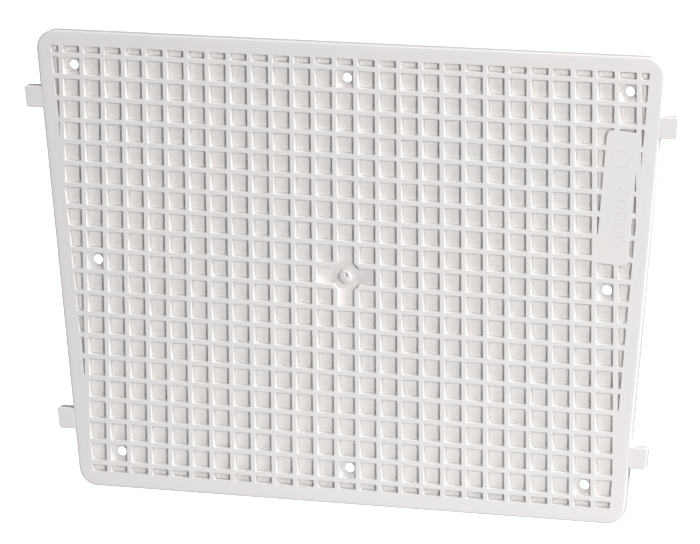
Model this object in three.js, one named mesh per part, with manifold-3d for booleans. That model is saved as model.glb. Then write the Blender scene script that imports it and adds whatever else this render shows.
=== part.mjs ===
// A ribbed transom pad: a white plastic plate with a square grid of ribs over its whole front,
// eight countersunk screw holes, four side lugs, a flat label pad and a round gate boss.
//
// The real plate is one moulding. It is drawn here as its named regions, each one closed body,
// with a fine clearance where one region meets the next.
//
// Millimetres. X runs to the right as seen from the front, Z runs up, and Y runs through the
// thickness. The back face lies on Y = 0 and the rib tops on Y = -plateThick, so a "level" is a
// distance in front of the back face. The origin is the centre of the back face.

import * as THREE from "three";
import { mergeGeometries, mergeVertices } from "three/addons/utils/BufferGeometryUtils.js";
import Module from "manifold-3d";

// Driving dimensions.
const pitch = 15; // from the centre of one pocket to the next
const ribWide = 3.2;
const plateThick = 7.5;
const pocketDeep = 5;
const plateHigh = 318.6;
const plateWideAtMid = 414.6; // across the plate at half its height
const sideSlope = 0.0861; // how far a side leans out for each millimetre up
const cornerRadius = 13;
const cornerSteps = 8;
const edgeRound = 1;
const rimWide = 10.4;
const fitGap = 0.3; // clearance between neighbouring regions

const columnsEachSide = 14; // of the middle column, the last ones cut by the slanted rim
const rowsEachSide = 10; // of the middle row, the last ones cut by the straight rim
const leastPocket = 0.8; // narrower leftovers at the rim stay solid

// Screw bosses, as columns and rows counted from the middle pocket.
const screwCells = [
  { name: "screw_boss_top_left", column: -13, row: 9 },
  { name: "screw_boss_top_middle", column: 0, row: 9 },
  { name: "screw_boss_top_right", column: 13, row: 9 },
  { name: "screw_boss_middle_left", column: -12, row: 0 },
  { name: "screw_boss_middle_right", column: 12, row: 0 },
  { name: "screw_boss_bottom_left", column: -11, row: -9 },
  { name: "screw_boss_bottom_middle", column: 0, row: -9 },
  { name: "screw_boss_bottom_right", column: 11, row: -9 },
];
const screwHoleRadius = 3.5;
const countersinkRadius = 5.3;
const screwBossLevel = 4.2; // the boss's own face
const screwHoleLevel = 1.7; // where the countersink ends and the straight hole begins

const lugHigh = 15;
const lugOut = 11.8;
const lugRise = 7.5 * pitch; // from mid height to the middle of each lug
const lugRadius = 1.8;
const sides = [
  { name: "left", hand: -1 },
  { name: "right", hand: 1 },
];
const heights = [
  { name: "upper", rise: lugRise },
  { name: "lower", rise: -lugRise },
];

const labelWide = 23.1;
const labelHigh = 91;
const labelRadius = 5;
const labelCentre = new THREE.Vector2(187.7, 64);
const labelSunk = 0.3; // below the rib tops, so that its raised mark stays below them too

const gateRecessRadius = 10.8;
const gateBossRadius = 5;
const gateShoulderRadius = 4.3;
const gateTopRadius = 3.1;
const gateTopLevel = 5.6;
const gateShoulderLevel = 4.4;
const gateDimpleRadius = 0.9;
const gateDimpleDeep = 1.4;

// Sizes worked out from them.
const floorLevel = plateThick - pocketDeep;
const pocketWide = pitch - ribWide;
const sideLean = Math.atan(sideSlope);
const rimAcross = rimWide / Math.cos(sideLean); // the rim's width measured along X
const innerHalfHigh = plateHigh / 2 - rimWide;
const innerHalfWideAtMid = plateWideAtMid / 2 - rimAcross;

const wasm = await Module();
wasm.setup();

// --- solids and cuts ---

function toSolid(geometry) {
  const bare = geometry.clone();
  bare.deleteAttribute("normal");
  bare.deleteAttribute("uv");
  const merged = mergeVertices(bare, 1e-4);
  return new wasm.Manifold(
    new wasm.Mesh({
      numProp: 3,
      vertProperties: new Float32Array(merged.attributes.position.array),
      triVerts: new Uint32Array(merged.index.array),
    }),
  );
}

function toGeometry(solid) {
  const mesh = solid.getMesh();
  const geometry = new THREE.BufferGeometry();
  geometry.setAttribute("position", new THREE.BufferAttribute(mesh.vertProperties, 3));
  geometry.setIndex(new THREE.BufferAttribute(mesh.triVerts, 1));
  geometry.computeVertexNormals();
  return geometry;
}

// The points of a rounded corner, from the line that comes in to the line that goes out.
function roundedCorner(corner, before, after) {
  const at = new THREE.Vector2(corner.x, corner.z);
  const toBefore = new THREE.Vector2(before.x, before.z).sub(at).normalize();
  const toAfter = new THREE.Vector2(after.x, after.z).sub(at).normalize();
  const halfAngle = Math.acos(toBefore.dot(toAfter)) / 2;
  const inwards = toBefore.clone().add(toAfter).normalize();
  const centre = at.clone().addScaledVector(inwards, corner.radius / Math.sin(halfAngle));
  const reach = corner.radius / Math.tan(halfAngle);
  const start = at.clone().addScaledVector(toBefore, reach).sub(centre).angle();
  const sweep = Math.PI - 2 * halfAngle;
  return Array.from({ length: cornerSteps + 1 }, (_, i) => {
    const angle = start + (sweep * i) / cornerSteps;
    const spoke = new THREE.Vector2(Math.cos(angle), Math.sin(angle));
    return centre.clone().addScaledVector(spoke, corner.radius);
  });
}

// An outline in X and Z from corners listed anticlockwise. A corner with a radius is rounded.
function outline(corners) {
  const points = corners.flatMap((corner, i) => {
    const after = corners[(i + 1) % corners.length];
    if (corner.radius) return roundedCorner(corner, corners.at(i - 1), after);
    return [new THREE.Vector2(corner.x, corner.z)];
  });
  return new THREE.Shape(points);
}

// Stands a shape between two levels, its outline in X and Z.
function prism(shape, lowLevel, highLevel, edge = 0) {
  const geometry = new THREE.ExtrudeGeometry(shape, {
    depth: highLevel - lowLevel - 2 * edge,
    bevelEnabled: edge > 0,
    bevelThickness: edge,
    bevelSize: edge,
    bevelOffset: -edge,
    bevelSegments: 2,
  });
  geometry.translate(0, 0, lowLevel + edge);
  geometry.rotateX(Math.PI / 2);
  return geometry;
}

// Turns a profile of radius and level points about the Y direction.
function turned(profile, steps) {
  const points = profile.map(([radius, level]) => new THREE.Vector2(radius, level));
  const geometry = new THREE.LatheGeometry(points, steps);
  geometry.rotateX(Math.PI);
  return geometry;
}

function block(centreX, centreZ, wide, high, lowLevel, highLevel) {
  const geometry = new THREE.BoxGeometry(wide, highLevel - lowLevel, high);
  geometry.translate(centreX, -(lowLevel + highLevel) / 2, centreZ);
  return geometry;
}

// --- outlines ---

// A plate outline: straight top and bottom, sides that lean out towards the top.
function plateOutline(halfHigh, halfWideAtMid, radius) {
  const top = halfWideAtMid + sideSlope * halfHigh;
  const bottom = halfWideAtMid - sideSlope * halfHigh;
  return outline([
    { x: -bottom, z: -halfHigh, radius },
    { x: bottom, z: -halfHigh, radius },
    { x: top, z: halfHigh, radius },
    { x: -top, z: halfHigh, radius },
  ]);
}

// The label pad's outline leans with the right-hand side. Grow makes it larger all round.
function labelOutline(grow) {
  const halfWide = labelWide / 2 + grow;
  const halfHigh = labelHigh / 2 + grow;
  const corners = [
    [-halfWide, -halfHigh],
    [halfWide, -halfHigh],
    [halfWide, halfHigh],
    [-halfWide, halfHigh],
  ];
  return outline(
    corners.map(([across, along]) => ({
      x: labelCentre.x + across * Math.cos(sideLean) + along * Math.sin(sideLean),
      z: labelCentre.y - across * Math.sin(sideLean) + along * Math.cos(sideLean),
      radius: labelRadius + grow,
    })),
  );
}

function lugOutline(hand, rise) {
  const sideAt = (z) => plateWideAtMid / 2 + sideSlope * z;
  const low = rise - lugHigh / 2;
  const high = rise + lugHigh / 2;
  const corners = [
    { x: sideAt(low) + fitGap, z: low },
    { x: sideAt(low) + lugOut, z: low, radius: lugRadius },
    { x: sideAt(high) + lugOut, z: high, radius: lugRadius },
    { x: sideAt(high) + fitGap, z: high },
  ];
  if (hand > 0) return outline(corners);
  return outline(corners.map((corner) => ({ ...corner, x: -corner.x })).reverse());
}

// --- regions of the plate ---

function isScrewCell(column, row) {
  return screwCells.some((cell) => cell.column === column && cell.row === row);
}

// The pockets between the ribs, as one set of blocks that reach past the rib tops.
// Those at screw bosses go right through. Those at the rim reach past the panel's edge.
function pockets() {
  const past = 1;
  const blocks = [];
  for (let row = -rowsEachSide; row <= rowsEachSide; row += 1) {
    const reachAtTop = innerHalfWideAtMid + sideSlope * (row * pitch + pocketWide / 2);
    for (let column = -columnsEachSide; column <= columnsEachSide; column += 1) {
      const nearEdge = Math.abs(column) * pitch - pocketWide / 2;
      if (reachAtTop - nearEdge < leastPocket) continue;
      const low = isScrewCell(column, row) ? -past : floorLevel;
      blocks.push(
        block(column * pitch, row * pitch, pocketWide, pocketWide, low, plateThick + past),
      );
    }
  }
  return toSolid(mergeGeometries(blocks));
}

function makeWafflePanel() {
  const past = 1;
  const gapAcross = fitGap / Math.cos(sideLean);
  const slab = plateOutline(innerHalfHigh - fitGap, innerHalfWideAtMid - gapAcross, 0);
  const bossHole = gateBossRadius + fitGap;
  const gateCut = [
    [0, -past],
    [bossHole, -past],
    [bossHole, floorLevel],
    [gateRecessRadius, floorLevel],
    [gateRecessRadius, plateThick + past],
    [0, plateThick + past],
  ];
  return toSolid(prism(slab, 0, plateThick))
    .subtract(pockets())
    .subtract(toSolid(prism(labelOutline(fitGap), floorLevel, plateThick + past)))
    .subtract(toSolid(turned(gateCut, 32)));
}

function makeRimFrame() {
  const past = 1;
  const outer = plateOutline(plateHigh / 2, plateWideAtMid / 2, cornerRadius);
  const inner = plateOutline(innerHalfHigh, innerHalfWideAtMid, 0);
  return toSolid(prism(outer, 0, plateThick, edgeRound)).subtract(
    toSolid(prism(inner, -past, plateThick + past)),
  );
}

function makeScrewBoss(cell) {
  const past = 1;
  const plugWide = pocketWide - 2 * fitGap;
  const slope = (countersinkRadius - screwHoleRadius) / (screwBossLevel - screwHoleLevel);
  const hole = [
    [0, -past],
    [screwHoleRadius, -past],
    [screwHoleRadius, screwHoleLevel],
    [countersinkRadius, screwBossLevel],
    [countersinkRadius + slope * past, screwBossLevel + past],
    [0, screwBossLevel + past],
  ];
  const bore = turned(hole, 24).translate(cell.column * pitch, 0, cell.row * pitch);
  const plug = block(
    cell.column * pitch, cell.row * pitch, plugWide, plugWide, 0, screwBossLevel,
  );
  return toSolid(plug).subtract(toSolid(bore));
}

function makeGateBoss() {
  return turned(
    [
      [0, 0],
      [gateBossRadius, 0],
      [gateBossRadius, floorLevel],
      [gateShoulderRadius, gateShoulderLevel],
      [gateTopRadius, gateTopLevel],
      [gateDimpleRadius, gateTopLevel],
      [gateDimpleRadius, gateTopLevel - gateDimpleDeep],
      [0, gateTopLevel - gateDimpleDeep],
    ],
    24,
  );
}

// --- the part ---

const part = new THREE.Group();

function addRegion(name, shape, colour) {
  const geometry = shape.isBufferGeometry ? shape : toGeometry(shape);
  const material = new THREE.MeshStandardMaterial({
    color: colour,
    roughness: 0.45,
    metalness: 0,
  });
  const mesh = new THREE.Mesh(geometry, material);
  mesh.name = name;
  part.add(mesh);
}

const plasticWhite = 0xe9e8e6;

addRegion("rim_frame", makeRimFrame(), plasticWhite);
addRegion("waffle_panel", makeWafflePanel(), plasticWhite);
screwCells.forEach((cell) => addRegion(cell.name, makeScrewBoss(cell), plasticWhite));
sides.forEach((side) => {
  heights.forEach((height) => {
    const lug = prism(lugOutline(side.hand, height.rise), 0, plateThick);
    addRegion(`side_lug_${height.name}_${side.name}`, lug, plasticWhite);
  });
});
const labelPad = prism(labelOutline(0), floorLevel + fitGap, plateThick - labelSunk);
addRegion("label_pad", labelPad, plasticWhite);
addRegion("gate_boss", makeGateBoss(), plasticWhite);

export default part;
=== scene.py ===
import math

import bpy
import numpy as np
from mathutils import Matrix, Vector
from mathutils.geometry import delaunay_2d_cdt


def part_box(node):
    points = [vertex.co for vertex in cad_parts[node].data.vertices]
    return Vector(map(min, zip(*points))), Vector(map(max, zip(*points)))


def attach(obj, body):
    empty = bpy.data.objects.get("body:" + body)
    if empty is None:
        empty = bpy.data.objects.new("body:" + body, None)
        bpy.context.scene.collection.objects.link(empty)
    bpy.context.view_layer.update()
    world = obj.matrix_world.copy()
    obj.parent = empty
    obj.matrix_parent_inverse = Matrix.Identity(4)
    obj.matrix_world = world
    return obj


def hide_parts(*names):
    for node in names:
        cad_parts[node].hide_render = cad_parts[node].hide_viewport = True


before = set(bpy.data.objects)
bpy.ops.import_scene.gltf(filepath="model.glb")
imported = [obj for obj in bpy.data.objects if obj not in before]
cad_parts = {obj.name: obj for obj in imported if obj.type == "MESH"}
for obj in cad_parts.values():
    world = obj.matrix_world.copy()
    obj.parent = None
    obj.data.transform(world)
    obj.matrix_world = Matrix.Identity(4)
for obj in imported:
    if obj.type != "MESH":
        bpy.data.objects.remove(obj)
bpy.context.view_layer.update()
print("frame loaded:", len(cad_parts), "nodes")

mm = 0.001
# the plate's front faces -Y: a depth is counted in mm from the rib tops to the back face at Y = 0
thick = -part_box("rim_frame")[0].y / mm


def boxCentre(node):
    low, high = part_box(node)
    return (low + high) / 2 / mm


# shapes: a loop is an array of (x, z) points in mm that runs anticlockwise seen from the front

def unit(v):
    return v / np.maximum(np.linalg.norm(v, axis=-1, keepdims=True), 1e-12)


def leftOf(v):
    return np.stack([-v[..., 1], v[..., 0]], -1)


# Rounds every corner of a loop that is moved inwards by inset. A corner's arc has its centre
# (inset + radius) * (sum of the two edge normals) / (1 + their dot product) from the corner, and
# runs from one normal to the other. A negative radius rounds a corner that points into the loop.
# corners is (loops, corners, 2), inset one number per loop, radius one per corner.
def roundedLoop(corners, inset, radius, steps):
    inset = np.broadcast_to(inset, corners.shape[:1])[:, None, None]
    radius = np.broadcast_to(radius, corners.shape[:2])[..., None]
    before = leftOf(unit(corners - np.roll(corners, 1, 1)))
    after = leftOf(unit(np.roll(corners, -1, 1) - corners))
    mitre = (before + after) / (1 + (before * after).sum(-1, keepdims=True))
    centre = corners + mitre * (inset + radius)
    t = np.linspace(0, 1, steps)[:, None]
    inward = unit(before[:, :, None] * (1 - t) + after[:, :, None] * t)
    points = centre[:, :, None] - inward * radius[:, :, None]
    flat = (corners.shape[0], corners.shape[1] * steps, 2)
    return points.reshape(flat), inward.reshape(flat)


# Sets a loop at a depth. Its normals are the inward direction times cos(lean) plus the direction
# towards the front times sin(lean).
def place(loop, depth, lean):
    points, inward = loop
    depth = np.full(points.shape[:-1], depth)
    side, front = math.cos(math.radians(lean)), math.sin(math.radians(lean))
    where = np.stack([points[..., 0], depth - thick, points[..., 1]], -1) * mm
    normal = np.stack([inward[..., 0] * side, np.full(depth.shape, -front), inward[..., 1] * side], -1)
    return where, normal


# Even-odd rule: a point is inside when a ray to its right crosses the loop an odd number of times.
def insideLoop(point, loop):
    a, b = loop, np.roll(loop, -1, 0)
    crosses = (a[:, 1] > point[1]) != (b[:, 1] > point[1])
    rise = np.where(crosses, b[:, 1] - a[:, 1], 1)
    at = a[:, 0] + (point[1] - a[:, 1]) / rise * (b[:, 0] - a[:, 0])
    return (crosses & (at > point[0])).sum() % 2 == 1


# Gathers the points, the shading normals and the faces of one closed surface.
class Shell:
    def __init__(self):
        self.points, self.normals, self.faces, self.count = [], [], [], 0

    # Joins neighbouring rings by quads. Each ring is (points, normals) of (loops, around, 3).
    # Facing is 1 for rings that shrink into a hollow and -1 for rings that grow round the body.
    def bands(self, rings, facing=1):
        points = np.stack([ring[0] for ring in rings], 1)
        normals = np.stack([ring[1] for ring in rings], 1)
        ids = self.count + np.arange(points[..., 0].size).reshape(points.shape[:-1])
        a, d = ids[:, :-1], ids[:, 1:]
        b, c = np.roll(a, -1, 2), np.roll(d, -1, 2)
        order = [a, b, c, d] if facing > 0 else [a, d, c, b]
        self.points.append(points.reshape(-1, 3))
        self.normals.append(normals.reshape(-1, 3))
        self.faces += np.stack(order, -1).reshape(-1, 4).tolist()
        self.count += ids.size
        return ids[:, 0], ids[:, -1]

    def caps(self, loops, facing=1):
        self.faces += [list(loop) if facing > 0 else list(loop[::-1]) for loop in loops]

    # Fills the flat face between an outer loop and the hollows in it with Delaunay triangles.
    # A triangle with all its corners on one hollow's loop is dropped if its middle is inside.
    def fillFlat(self, outer, hollows, facing=1):
        loops = [outer] + [loop for family in hollows for loop in family]
        ids = np.concatenate(loops)
        owner = np.repeat(np.arange(len(loops)), [len(loop) for loop in loops])
        flat = np.concatenate(self.points)[ids][:, [0, 2]] / mm
        starts = np.cumsum([0] + [len(loop) for loop in loops[:-1]])
        edges = np.concatenate([
            start + np.stack([np.arange(len(loop)), np.roll(np.arange(len(loop)), -1)], -1)
            for start, loop in zip(starts, loops)
        ])
        made = delaunay_2d_cdt([Vector(p) for p in flat.tolist()], edges.tolist(), [], 0, 1e-7)
        triangles = np.array([same[0] for same in made[3]])[np.array(made[2])]
        own = owner[triangles]
        oneHollow = (own == own[:, :1]).all(1) & (own[:, 0] > 0)
        keep = np.ones(len(triangles), bool)
        for i in np.flatnonzero(oneHollow):
            start = starts[own[i, 0]]
            ring = flat[start:start + len(loops[own[i, 0]])]
            keep[i] = not insideLoop(flat[triangles[i]].mean(0), ring)
        triangles = triangles[keep]
        p = flat[triangles]
        u, v = p[:, 1] - p[:, 0], p[:, 2] - p[:, 0]
        turned = (u[:, 0] * v[:, 1] - u[:, 1] * v[:, 0]) * facing < 0
        triangles[turned] = triangles[turned][:, ::-1]
        self.faces += ids[triangles].tolist()

    def build(self, name, material):
        return meshObject(name, np.concatenate(self.points), np.concatenate(self.normals),
                          self.faces, material)


def meshObject(name, points, normals, faces, material):
    mesh = bpy.data.meshes.new(name)
    mesh.from_pydata(points.tolist(), [], faces)
    mesh.polygons.foreach_set("use_smooth", np.ones(len(mesh.polygons), bool))
    mesh.materials.append(material)
    mesh.update()
    mesh.normals_split_custom_set_from_vertices(unit(normals).tolist())
    made = bpy.data.objects.new(name, mesh)
    bpy.context.scene.collection.objects.link(made)
    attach(made, "root")
    print(name, "made:", len(mesh.vertices), "points,", len(mesh.polygons), "faces")
    return made


def hexColour(text):
    s = np.array([int(text[i:i + 2], 16) for i in (1, 3, 5)]) / 255
    linear = np.where(s <= 0.04045, s / 12.92, ((s + 0.055) / 1.055) ** 2.4)
    return (*linear.tolist(), 1.0)


# Adds one node: settings are its attributes, values its unlinked sockets, links its inputs.
def addNode(tree, kind, settings=None, values=None, links=None):
    made = tree.nodes.new(kind)
    for key, value in (settings or {}).items():
        setattr(made, key, value)
    for key, value in (values or {}).items():
        made.inputs[key].default_value = value
    for key, source in (links or {}).items():
        tree.links.new(source, made.inputs[key])
    return made


plastic = {
    "pale": "#eae9e8",
    "warm": "#ece8e6",       # faint clouds in the resin
    "roughness": 0.42,
    "cloud": 55 * mm,
    "grain": 0.8 * mm,       # coarser than the real grain, which would not show
    "grainDepth": 0.015 * mm,
}


# Polypropylene moulded in a fine spark-eroded tool: an even white with a soft satin sheen, faint
# clouds in the resin and a grain that only breaks up the highlights.
def makePlastic():
    material = bpy.data.materials.new("mouldedPolypropylene")
    material.use_nodes = True
    tree = material.node_tree
    tree.nodes.clear()
    where = addNode(tree, "ShaderNodeTexCoord").outputs["Object"]
    cloud = addNode(tree, "ShaderNodeTexNoise", None,
                    {"Scale": 1 / plastic["cloud"], "Detail": 3.0}, {"Vector": where})
    colour = addNode(tree, "ShaderNodeMix", {"data_type": "RGBA"},
                     {6: hexColour(plastic["pale"]), 7: hexColour(plastic["warm"])},
                     {0: cloud.outputs["Fac"]})
    gloss = addNode(tree, "ShaderNodeMapRange", None,
                    {"From Min": 0.3, "From Max": 0.7, "To Min": plastic["roughness"] - 0.05,
                     "To Max": plastic["roughness"] + 0.06}, {"Value": cloud.outputs["Fac"]})
    grain = addNode(tree, "ShaderNodeTexNoise", None,
                    {"Scale": 1 / plastic["grain"], "Detail": 2.0}, {"Vector": where})
    bump = addNode(tree, "ShaderNodeBump", None,
                   {"Distance": plastic["grainDepth"], "Strength": 1.0},
                   {"Height": grain.outputs["Fac"]})
    shader = addNode(tree, "ShaderNodeBsdfPrincipled", None, {"IOR": 1.49},
                     {"Base Color": colour.outputs[2], "Roughness": gloss.outputs["Result"],
                      "Normal": bump.outputs["Normal"]})
    addNode(tree, "ShaderNodeOutputMaterial", None, None, {"Surface": shader.outputs["BSDF"]})
    return material


whitePlastic = makePlastic()

# plate: rim, ribs, pockets, screw holes, label pad and the recess round the gate

plate = {
    "pitch": boxCentre("screw_boss_top_right").x / 13,
    "pocketWide": 11.8,
    "pocketCorner": 0.6,
    "floor": 5.0,                 # depth of the pocket floors
    "ribRound": 0.2,              # on the edges of the rib tops
    "draft": 0.25,                # how much a wall closes in on its way down
    "floorRound": 0.2,
    "sideSlope": 0.0861,          # how far a side leans out for each mm up
    "halfHigh": 159.3,
    "halfWide": 207.3,            # at mid height
    "corner": 13.0,
    "rimWide": 10.4,
    "columns": 14,                # each side of the middle one, the last ones cut by the rim
    "rows": 10,
    "leastPocket": 0.45,          # least area over half the outline, or a leftover stays solid
    "leastEdge": 1.8,             # shorter edges of a cut pocket merge into their neighbours
    "fullWall": 4.0,              # a pocket with no edge shorter than this has full roundings
    "gateRecess": 10.8,
    "screwCells": [(-13, 9), (0, 9), (13, 9), (-12, 0), (12, 0), (-11, -9), (0, -9), (11, -9)],
    "bossWall": 0.5,              # share of the full roundings on a screw boss's pocket
    "bossFace": 3.3,              # depth of a screw boss's own face
    "coneRadius": 5.4,
    "holeRadius": 3.3,
    "coneEnd": 5.8,               # depth where the countersink meets the straight hole
}
lean = math.atan(plate["sideSlope"])
half = plate["pocketWide"] / 2
innerHigh = plate["halfHigh"] - plate["rimWide"]
innerWide = plate["halfWide"] - plate["rimWide"] / math.cos(lean)

label = {
    "wide": 21.9,
    "shift": 0.5,
    "high": 90.6,
    "corner": 4.2,
    "grooveWide": 0.8,
    "grooveDeep": 0.45,
    "ring": (-0.3, 26.7, 6.0),    # centre across and along the pad, radius
    "blocks": 5,
    "block": (3.1, -12.0, 3.5, 2.8, 1.0),    # centre of the row, half width, half height, corner
    "blockPitch": 8.25,
}
padCentre = np.array([boxCentre("label_pad").x + label["shift"], boxCentre("label_pad").z])
padAcross = np.array([math.cos(lean), -math.sin(lean)])
padAlong = np.array([math.sin(lean), math.cos(lean)])


# A point on the label pad, which leans with the plate's right-hand side.
def onPad(across, along):
    return padCentre + np.multiply.outer(across, padAcross) + np.multiply.outer(along, padAlong)


def rectangle(halfWide, halfHigh):
    return np.array([-1, 1, 1, -1]) * halfWide, np.array([-1, -1, 1, 1]) * halfHigh


padCorners = onPad(*rectangle(label["wide"] / 2, label["high"] / 2))
padNormals = leftOf(unit(np.roll(padCorners, -1, 0) - padCorners))


# The part of a convex polygon where f is positive, for f linear in x and z.
def cut(polygon, f):
    made = []
    for a, b in zip(polygon, np.roll(polygon, -1, 0)):
        fa, fb = f(a), f(b)
        if fa >= 0:
            made.append(a)
        if (fa >= 0) != (fb >= 0):
            made.append(a + (b - a) * fa / (fa - fb))
    return np.array(made).reshape(-1, 2)


# The stretch of a line from a to b that lies on the pad, as shares of its length.
def stretchOnPad(a, b):
    start = ((a - padCorners) * padNormals).sum(1)
    rate = padNormals @ (b - a)
    t = -start / np.where(abs(rate) < 1e-9, 1e-9, rate)
    enters = max(0.0, t[rate > 1e-9].max(initial=0.0))
    leaves = min(1.0, t[rate < -1e-9].min(initial=1.0))
    blocked = ((abs(rate) <= 1e-9) & (start < 0)).any()
    return (enters, leaves) if leaves > enters and not blocked else None


# What the pad leaves of a pocket. Walks round the pocket, keeping the chain of points off the
# pad, and closes the chain over any pad corner inside the pocket, which makes an L.
def withoutPad(polygon):
    chains, chain, found = [], [], False
    for a, b in zip(polygon, np.roll(polygon, -1, 0)):
        if stretchOnPad(a, a + (b - a) * 1e-6) is None:
            chain.append(a)
        stretch = stretchOnPad(a, b)
        if stretch:
            found = True
            if stretch[0] > 0:
                chains.append(chain + [a + (b - a) * stretch[0]])
                chain = []
            if stretch[1] < 1:
                chain = [a + (b - a) * stretch[1]]
    if not found:
        return [(polygon, None)]
    if chain:
        chains[0] = chain + chains[0]
    inside = [c for c in padCorners if insideLoop(c, polygon)]
    if len(chains) == 1 and inside:
        return [(np.array(chains[0] + inside[:1]), len(chains[0]))]
    return [(np.array(c), None) for c in chains if len(c) > 2]


# Drops the corner beside any edge too short to be drawn, choosing the one that changes less.
def withoutShortEdges(polygon, least):
    while len(polygon) > 4:
        edge = np.roll(polygon, -1, 0) - polygon
        length = np.linalg.norm(edge, axis=1)
        i = int(length.argmin())
        if length[i] > least:
            break
        bend = abs((leftOf(unit(np.roll(edge, 1, 0))) * unit(edge)).sum(1))
        j = (i + 1) % len(polygon)
        polygon = np.delete(polygon, i if bend[i] < bend[j] else j, 0)
    return polygon


def areaOf(polygon):
    after = np.roll(polygon, -1, 0)
    return (polygon[:, 0] * after[:, 1] - polygon[:, 1] * after[:, 0]).sum() / 2


# Every plain pocket: a square round its cell's middle, cut by the rim and by the label pad. A
# corner's radius is at most 0.4 of what its shorter edge leaves room for. Returns families of
# pockets with the same number of corners, as (corners, radii, shortest edges).
def plainPockets():
    special = set(plate["screwCells"]) | {(0, 0), (1, 0), (-1, 0), (0, 1), (0, -1)}
    slope = plate["sideSlope"]
    sides = [
        lambda p: innerWide + slope * p[1] - p[0],
        lambda p: innerWide + slope * p[1] + p[0],
        lambda p: innerHigh - p[1],
        lambda p: innerHigh + p[1],
    ]
    families = {}
    for row in range(-plate["rows"], plate["rows"] + 1):
        for column in range(-plate["columns"], plate["columns"] + 1):
            if (column, row) in special:
                continue
            polygon = np.stack(rectangle(half, half), 1) + np.array([column, row]) * plate["pitch"]
            for side in sides:
                polygon = cut(polygon, side)
            if len(polygon) < 3:
                continue
            for piece, padCorner in withoutPad(polygon):
                if padCorner is None:
                    piece = withoutShortEdges(piece, plate["leastEdge"])
                length = np.linalg.norm(np.roll(piece, -1, 0) - piece, axis=1)
                if 2 * areaOf(piece) / length.sum() < plate["leastPocket"]:
                    continue
                normals = leftOf(unit(np.roll(piece, -1, 0) - piece))
                turn = (normals * np.roll(normals, 1, 0)).sum(1)
                room = 0.4 * np.minimum(length, np.roll(length, 1)) * np.sqrt((1 + turn) / (1 - turn))
                radius = np.minimum(plate["pocketCorner"], room)
                if padCorner is not None:
                    radius[padCorner] = -min(label["corner"], 2 * room[padCorner])
                families.setdefault(len(piece), []).append((piece, radius, length.min()))
    print("plain pockets:", {count: len(found) for count, found in families.items()})
    return [[np.array(column) for column in zip(*found)] for found in families.values()]


# A pocket's rings go from the rib top over its rounded edge, down the draft of the wall and
# through the fillet onto the floor. Narrow pockets use the same rings with smaller insets.
def pocketRings(corners, radius, scale, floor, steps):
    ribRound, draft = plate["ribRound"], plate["draft"]
    profile = [
        (-0.5 * ribRound, 0, 90),
        (0.0, 0.25 * ribRound, 45),
        (0.5 * ribRound, ribRound, 4),
        (0.5 * ribRound + draft, floor - plate["floorRound"], 4),
        (0.5 * ribRound + draft + 0.7 * plate["floorRound"], floor, 90),
    ]
    return [
        place(roundedLoop(corners, inset * scale, radius, steps), depth, lean)
        for inset, depth, lean in profile
    ]


def addPlainPockets(shell):
    tops = []
    for corners, radius, shortest in plainPockets():
        scale = np.minimum(1, shortest / plate["fullWall"])
        top, floor = shell.bands(pocketRings(corners, radius, scale, plate["floor"], 3))
        shell.caps(floor)
        tops.append(top)
    return tops


# The recess round the gate: the middle pocket and its four neighbours, joined by a round recess.
# One arm gives five corners, and the other three arms are the same turned by quarters.
def addGateRecess(shell):
    radius = plate["gateRecess"]
    tip = plate["pitch"] + half
    meet = math.sqrt(radius ** 2 - half ** 2)
    middle = radius / math.cos(math.pi / 4 - math.atan2(half, meet)) / math.sqrt(2)
    arm = np.array([(tip, -half), (tip, half), (meet, half), (middle, middle), (half, meet)])
    quarter = np.array([[0, 1], [-1, 0]])
    corners = np.concatenate([arm @ np.linalg.matrix_power(quarter, k) for k in range(4)])[None]
    rounding = np.tile([plate["pocketCorner"], plate["pocketCorner"], -0.5, 0.85 * radius, -0.5], 4)
    rings = pocketRings(corners, rounding[None], np.ones(1), plate["floor"], 5)
    top, floor = shell.bands(rings)
    shell.caps(floor)
    return top


# A circle whose points match those of a rounded square, corner by corner.
def circleLoop(centres, radius, steps):
    angle = math.radians(-180) + (np.arange(4 * steps) + 0.5) * math.pi / 2 / steps
    spoke = np.stack([np.cos(angle), np.sin(angle)], -1)
    return centres[:, None] + radius * spoke, np.broadcast_to(-spoke, (len(centres), *spoke.shape))


# A screw boss is a shallow pocket whose face opens into a cone and then a straight hole. The
# cone's slope gives its rings their lean.
def addScrewHoles(shell):
    steps = 8
    centres = np.array(plate["screwCells"]) * plate["pitch"]
    corners = centres[:, None] + np.stack(rectangle(half, half), 1)
    radius = np.full((len(centres), 4), plate["pocketCorner"])
    scale = np.full(len(centres), plate["bossWall"])
    rings = pocketRings(corners, radius, scale, plate["bossFace"], steps)
    coneDeep = plate["coneEnd"] - plate["bossFace"]
    coneWide = plate["coneRadius"] - plate["holeRadius"]
    coneLean = math.degrees(math.atan2(coneWide, coneDeep))
    for radius, depth, lean in [
        (plate["coneRadius"] + 0.05, plate["bossFace"], 90),
        (plate["coneRadius"] - 0.1, plate["bossFace"] + 0.15, coneLean),
        (plate["holeRadius"] + 0.08, plate["coneEnd"] - 0.1, coneLean),
        (plate["holeRadius"], plate["coneEnd"] + 0.1, 0),
        (plate["holeRadius"], thick - 0.2, 0),
        (plate["holeRadius"] + 0.2, thick, -90),
    ]:
        rings.append(place(circleLoop(centres, radius, steps), depth, lean))
    return shell.bands(rings)


# A groove in the label pad between an outer and an inner loop, with the pad's own face inside.
def addGroove(shell, corners, radius, steps):
    wide, deep = label["grooveWide"], label["grooveDeep"]
    rings = []
    for inset, depth, lean in [(0, 0, 90), (0.25 * wide, deep, 60), (0.75 * wide, deep, 120), (wide, 0, 90)]:
        ringRadius = np.maximum(radius - inset, 0.2)
        rings.append(place(roundedLoop(corners, inset, ringRadius, steps), depth, lean))
    top, island = shell.bands(rings)
    shell.caps(island)
    return top


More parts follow.
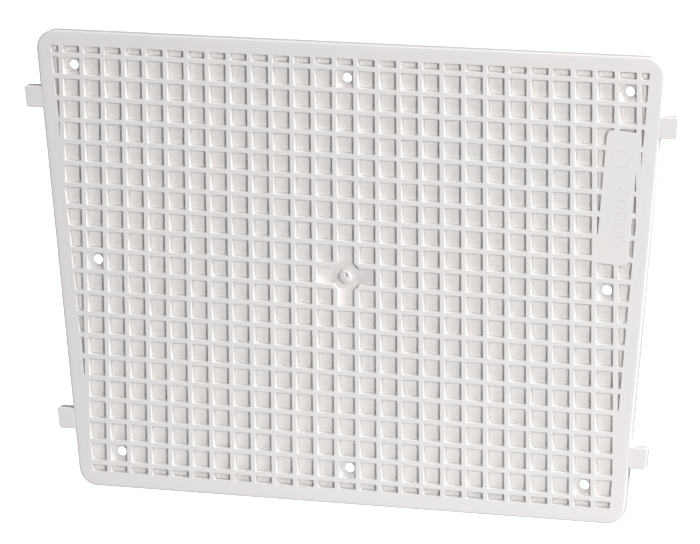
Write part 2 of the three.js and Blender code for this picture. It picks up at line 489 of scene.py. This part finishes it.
# A plain mark: a ring and a row of empty blocks.
def addMark(shell):
    across, along, radius = label["ring"]
    offsets = rectangle(radius, radius)
    ring = onPad(across + offsets[0], along + offsets[1])[None]
    across, along, halfWide, halfHigh, corner = label["block"]
    offsets = rectangle(halfWide, halfHigh)
    places = along + (np.arange(label["blocks"]) - (label["blocks"] - 1) / 2) * label["blockPitch"]
    blocks = np.stack([onPad(across + offsets[0], z + offsets[1]) for z in places])
    return [
        addGroove(shell, ring, np.full((1, 4), radius - 0.01), 8),
        addGroove(shell, blocks, np.full((len(blocks), 4), corner), 4),
    ]


# The rim's rings run outwards: a face that falls away a little, a rounded edge, the side wall
# and a smaller round at the back.
def addOutside(shell):
    slope, high, wide = plate["sideSlope"], plate["halfHigh"], plate["halfWide"]
    top, low = wide + slope * high, wide - slope * high
    corners = np.array([[(-low, -high), (low, -high), (top, high), (-top, high)]])
    rings = []
    for inset, depth, lean in [
        (4.0, 0, 90), (1.5, 0.04, 88), (0.85, 0.12, 76), (0.28, 0.38, 45), (0, 0.95, 5),
        (0, thick - 0.5, -5), (0.15, thick - 0.15, -45), (0.5, thick, -90),
    ]:
        points, inward = roundedLoop(corners, inset, plate["corner"] - inset, 12)
        rings.append(place((points, -inward), depth, lean))
    return shell.bands(rings, facing=-1)


def makePlate():
    shell = Shell()
    front, back = addOutside(shell)
    screwTop, screwBack = addScrewHoles(shell)
    hollows = addPlainPockets(shell) + [screwTop, addGateRecess(shell)]
    hollows += addMark(shell)
    shell.fillFlat(front[0], hollows)
    shell.fillFlat(back[0], [screwBack], facing=-1)
    made = shell.build("mouldedPlate", whitePlastic)
    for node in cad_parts:
        if node in ("rim_frame", "waffle_panel", "label_pad") or node.startswith("screw_boss"):
            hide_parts(node)
    return made


makePlate()

# side lugs: each grows out of the plate's side wall

lug = {
    "high": 15.0,
    "out": 11.8,
    "rooted": 2.5,      # how far it reaches into the plate
    "corner": 1.8,
    "lower": 0.12,      # its face lies this much below the rim
}


def makeLug(name, node):
    shell = Shell()
    middle = boxCentre(node)
    hand = math.copysign(1, middle.x)
    z = middle.z + np.array([-1, -1, 1, 1]) * lug["high"] / 2
    reach = np.array([-lug["rooted"], lug["out"], lug["out"], -lug["rooted"]])
    x = plate["halfWide"] + plate["sideSlope"] * z + reach
    corners = np.stack([hand * x, z], -1)[:: int(hand)][None]
    radius = np.array([[0.5, lug["corner"], lug["corner"], 0.5]])[:, :: int(hand)]
    rings = []
    for inset, depth, lean in [
        (0.9, 0, 90), (0.55, 0.06, 75), (0.17, 0.25, 45), (0, 0.65, 5),
        (0, thick - lug["lower"] - 0.5, -5), (0.15, thick - lug["lower"] - 0.15, -45),
        (0.5, thick - lug["lower"], -90),
    ]:
        ringRadius = np.maximum(radius - inset, 0.1)
        points, inward = roundedLoop(corners, inset, ringRadius, 6)
        rings.append(place((points, -inward), lug["lower"] + depth, lean))
    front, back = shell.bands(rings, facing=-1)
    shell.caps(front)
    shell.caps(back, facing=-1)
    made = shell.build(name, whitePlastic)
    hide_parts(node)
    return made


makeLug("lugUpperLeft", "side_lug_upper_left")
makeLug("lugUpperRight", "side_lug_upper_right")
makeLug("lugLowerLeft", "side_lug_lower_left")
makeLug("lugLowerRight", "side_lug_lower_right")

# gate nub: the broken-off end of the feed, on a faint round pad

gate = {
    "pad": 9.6,
    "padHigh": 0.15,
    "nub": 5.2,
    "high": 3.9,
    "offset": (-1.0, -1.0),
    "pit": (0.85, 1.5),          # how far it is squeezed across and stretched along
    "pitRadius": 1.35,
    "pitTurn": 30,              # degrees to the left
    "pitDeep": 3.3,
    "pitOffset": (0.9, 1.7),
    "wobble": 0.05,             # share of the radius by which the torn edge wanders
}


# A profile of (radius, height above the floor) turned about the plate's normal. The radius is
# multiplied by 1 + wobble * (a sum of three sines of the angle), and each ring's centre slides
# from the middle of the pad to the nub's and then to the pit's. The pit's rings are ellipses.
def makeGateNub():
    steps = 48
    angle = np.arange(steps) * 2 * math.pi / steps
    wave = 0.5 * np.sin(2 * angle + 0.7) + 0.35 * np.sin(5 * angle + 2.1) + 0.3 * np.sin(3 * angle)
    spoke = np.stack([np.cos(angle), np.sin(angle)], -1)
    nub, high, pitRadius = gate["nub"], gate["high"], gate["pitRadius"]
    profile = [  # radius, height, lean of the normal, shares of wobble, nub offset and pit offset
        (gate["pad"], -0.3, 0, 0, 0, 0),
        (gate["pad"], gate["padHigh"] - 0.1, 20, 0, 0, 0),
        (gate["pad"] - 0.25, gate["padHigh"], 80, 0, 0, 0),
        (nub + 1.1, gate["padHigh"], 85, 0.3, 0.9, 0),
        (nub + 0.35, gate["padHigh"] + 0.15, 50, 0.8, 1, 0),
        (nub, gate["padHigh"] + 0.7, 15, 1, 1, 0),
        (nub - 0.2, 0.62 * high, 15, 1, 1, 0),
        (nub - 0.55, 0.8 * high, 35, 1, 1, 0),
        (nub - 1.2, 0.93 * high, 60, 0.8, 1, 0.1),
        (nub - 2.1, high, 80, 0.6, 1, 0.4),
        (pitRadius, high, 88, 0, 1, 1),
        (pitRadius - 0.2, high - 0.15, 140, 0, 1, 1),
        (pitRadius - 0.3, high - 0.6, 175, 0, 1, 1),
        (pitRadius - 0.65, high - gate["pitDeep"], 120, 0, 1, 1),
    ]
    turn = math.radians(gate["pitTurn"])
    torn = np.array([[math.cos(turn), math.sin(turn)], [-math.sin(turn), math.cos(turn)]])
    shell = Shell()
    rings = []
    for radius, height, lean, wander, toNub, toPit in profile:
        reach = radius * (1 + wander * gate["wobble"] * wave)[:, None]
        squeeze = 1 + toPit * (np.array(gate["pit"]) - 1)
        centre = toNub * np.array(gate["offset"]) + toPit * np.array(gate["pitOffset"])
        loop = (centre + (spoke * reach * squeeze) @ torn)[None], (spoke @ torn)[None]
        rings.append(place(loop, plate["floor"] - height, lean))
    base, pit = shell.bands(rings)
    shell.caps(base, facing=-1)
    shell.caps(pit)
    made = shell.build("gateNub", whitePlastic)
    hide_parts("gate_boss")
    return made


makeGateNub()

studio = {
    "lens": 249.43,
    "cameraAt": (0.95332, -3.0582, 0.70616),
    "lookAt": (0.00295, -0.0076, 0.00319),
    "roll": -0.351,
    "fill": 0.135,          # world brightness for everything but the camera
    "backdrop": 1.2,        # world brightness for the camera
    # degrees to the right and up, then distance, width and height in metres, then watts
    "lights": {
        "key": (31, 14.5, 3.6, 0.6, 0.6, 74),
        "topSoft": (25, 68, 3.0, 0.9, 0.9, 14),
        "tableBounce": (15, -50, 0.5, 0.9, 0.25, 0.72),
        "right": (77, 35, 3.0, 0.8, 1.2, 74),
        "behind": (180, -6, 3.0, 1.4, 0.5, 88),    # for views of the plate's back
    },
    "floorDrop": 0.45,
    "floorReach": 9.0,
    "floorFlat": 6.0,
    "floorSweep": 0.05,
    "floorGlow": 1.1,
}


# The direction from the plate at an azimuth to its right and an elevation, in degrees.
def towards(azimuth, elevation):
    a, e = math.radians(azimuth), math.radians(elevation)
    return Vector((math.sin(a) * math.cos(e), -math.cos(a) * math.cos(e), math.sin(e)))


def makeCamera():
    camera = bpy.data.cameras.new("camera")
    camera.lens = studio["lens"]
    camera.sensor_width = 36
    camera.clip_end = 60
    made = bpy.data.objects.new("camera", camera)
    bpy.context.scene.collection.objects.link(made)
    at, aim = Vector(studio["cameraAt"]), Vector(studio["lookAt"])
    turn = (aim - at).to_track_quat("-Z", "Y").to_matrix().to_4x4()
    roll = Matrix.Rotation(math.radians(studio["roll"]), 4, "Z")
    made.matrix_world = Matrix.Translation(at) @ turn @ roll
    bpy.context.scene.camera = made


def makeLights():
    for name, (azimuth, elevation, distance, wide, high, watts) in studio["lights"].items():
        light = bpy.data.lights.new(name, "AREA")
        light.shape = "RECTANGLE"
        light.size, light.size_y = wide, high
        light.energy = watts
        made = bpy.data.objects.new(name, light)
        bpy.context.scene.collection.objects.link(made)
        made.location = towards(azimuth, elevation) * distance
        made.rotation_euler = made.location.to_track_quat("Z", "Y").to_euler()
        made.visible_camera = False


# White to the camera and a dim even grey to everything else.
def makeWorld():
    world = bpy.data.worlds.new("studioWhite")
    world.use_nodes = True
    tree = world.node_tree
    tree.nodes.clear()
    path = addNode(tree, "ShaderNodeLightPath")
    seen = addNode(tree, "ShaderNodeBackground", None,
                   {"Color": (1, 1, 1, 1), "Strength": studio["backdrop"]})
    lit = addNode(tree, "ShaderNodeBackground", None,
                  {"Color": (1, 1, 1, 1), "Strength": studio["fill"]})
    mixed = addNode(tree, "ShaderNodeMixShader", None, None,
                    {0: path.outputs["Is Camera Ray"], 1: lit.outputs[0], 2: seen.outputs[0]})
    addNode(tree, "ShaderNodeOutputWorld", None, None, {"Surface": mixed.outputs[0]})
    bpy.context.scene.world = world
    bpy.context.scene.view_settings.view_transform = "Standard"


# A sheet of white backdrop paper that sweeps up at its edges: its height grows with the square
# of how far a point lies past the flat middle.
def makeFloor():
    count, reach = 25, studio["floorReach"]
    x, y = np.meshgrid(np.linspace(-reach, reach, count), np.linspace(-reach, reach, count))
    past = np.maximum(np.hypot(x, y) - studio["floorFlat"], 0)
    z = -studio["floorDrop"] + studio["floorSweep"] * past ** 2
    ids = np.arange(count * count).reshape(count, count)
    quads = np.stack([ids[:-1, :-1], ids[:-1, 1:], ids[1:, 1:], ids[1:, :-1]], -1).reshape(-1, 4)
    mesh = bpy.data.meshes.new("paperFloor")
    mesh.from_pydata(np.stack([x, y, z], -1).reshape(-1, 3).tolist(), [], quads.tolist())
    mesh.polygons.foreach_set("use_smooth", np.ones(len(mesh.polygons), bool))
    made = bpy.data.objects.new("paperFloor", mesh)
    bpy.context.scene.collection.objects.link(made)
    # matt white backdrop paper, lifted so that it shows as pure white
    material = bpy.data.materials.new("backdropPaper")
    material.use_nodes = True
    tree = material.node_tree
    tree.nodes.clear()
    where = addNode(tree, "ShaderNodeTexCoord").outputs["Object"]
    fibre = addNode(tree, "ShaderNodeTexNoise", None, {"Scale": 400.0}, {"Vector": where})
    bump = addNode(tree, "ShaderNodeBump", None, {"Distance": 0.02 * mm, "Strength": 0.3},
                   {"Height": fibre.outputs["Fac"]})
    shader = addNode(tree, "ShaderNodeBsdfPrincipled", None,
                     {"Base Color": hexColour("#f6f6f5"), "Roughness": 0.9,
                      "Emission Color": hexColour("#ffffff"),
                      "Emission Strength": studio["floorGlow"]},
                     {"Normal": bump.outputs["Normal"]})
    addNode(tree, "ShaderNodeOutputMaterial", None, None, {"Surface": shader.outputs["BSDF"]})
    mesh.materials.append(material)
    made.visible_diffuse = made.visible_glossy = False


makeCamera()
makeLights()
makeWorld()
makeFloor()
print("studio ready")
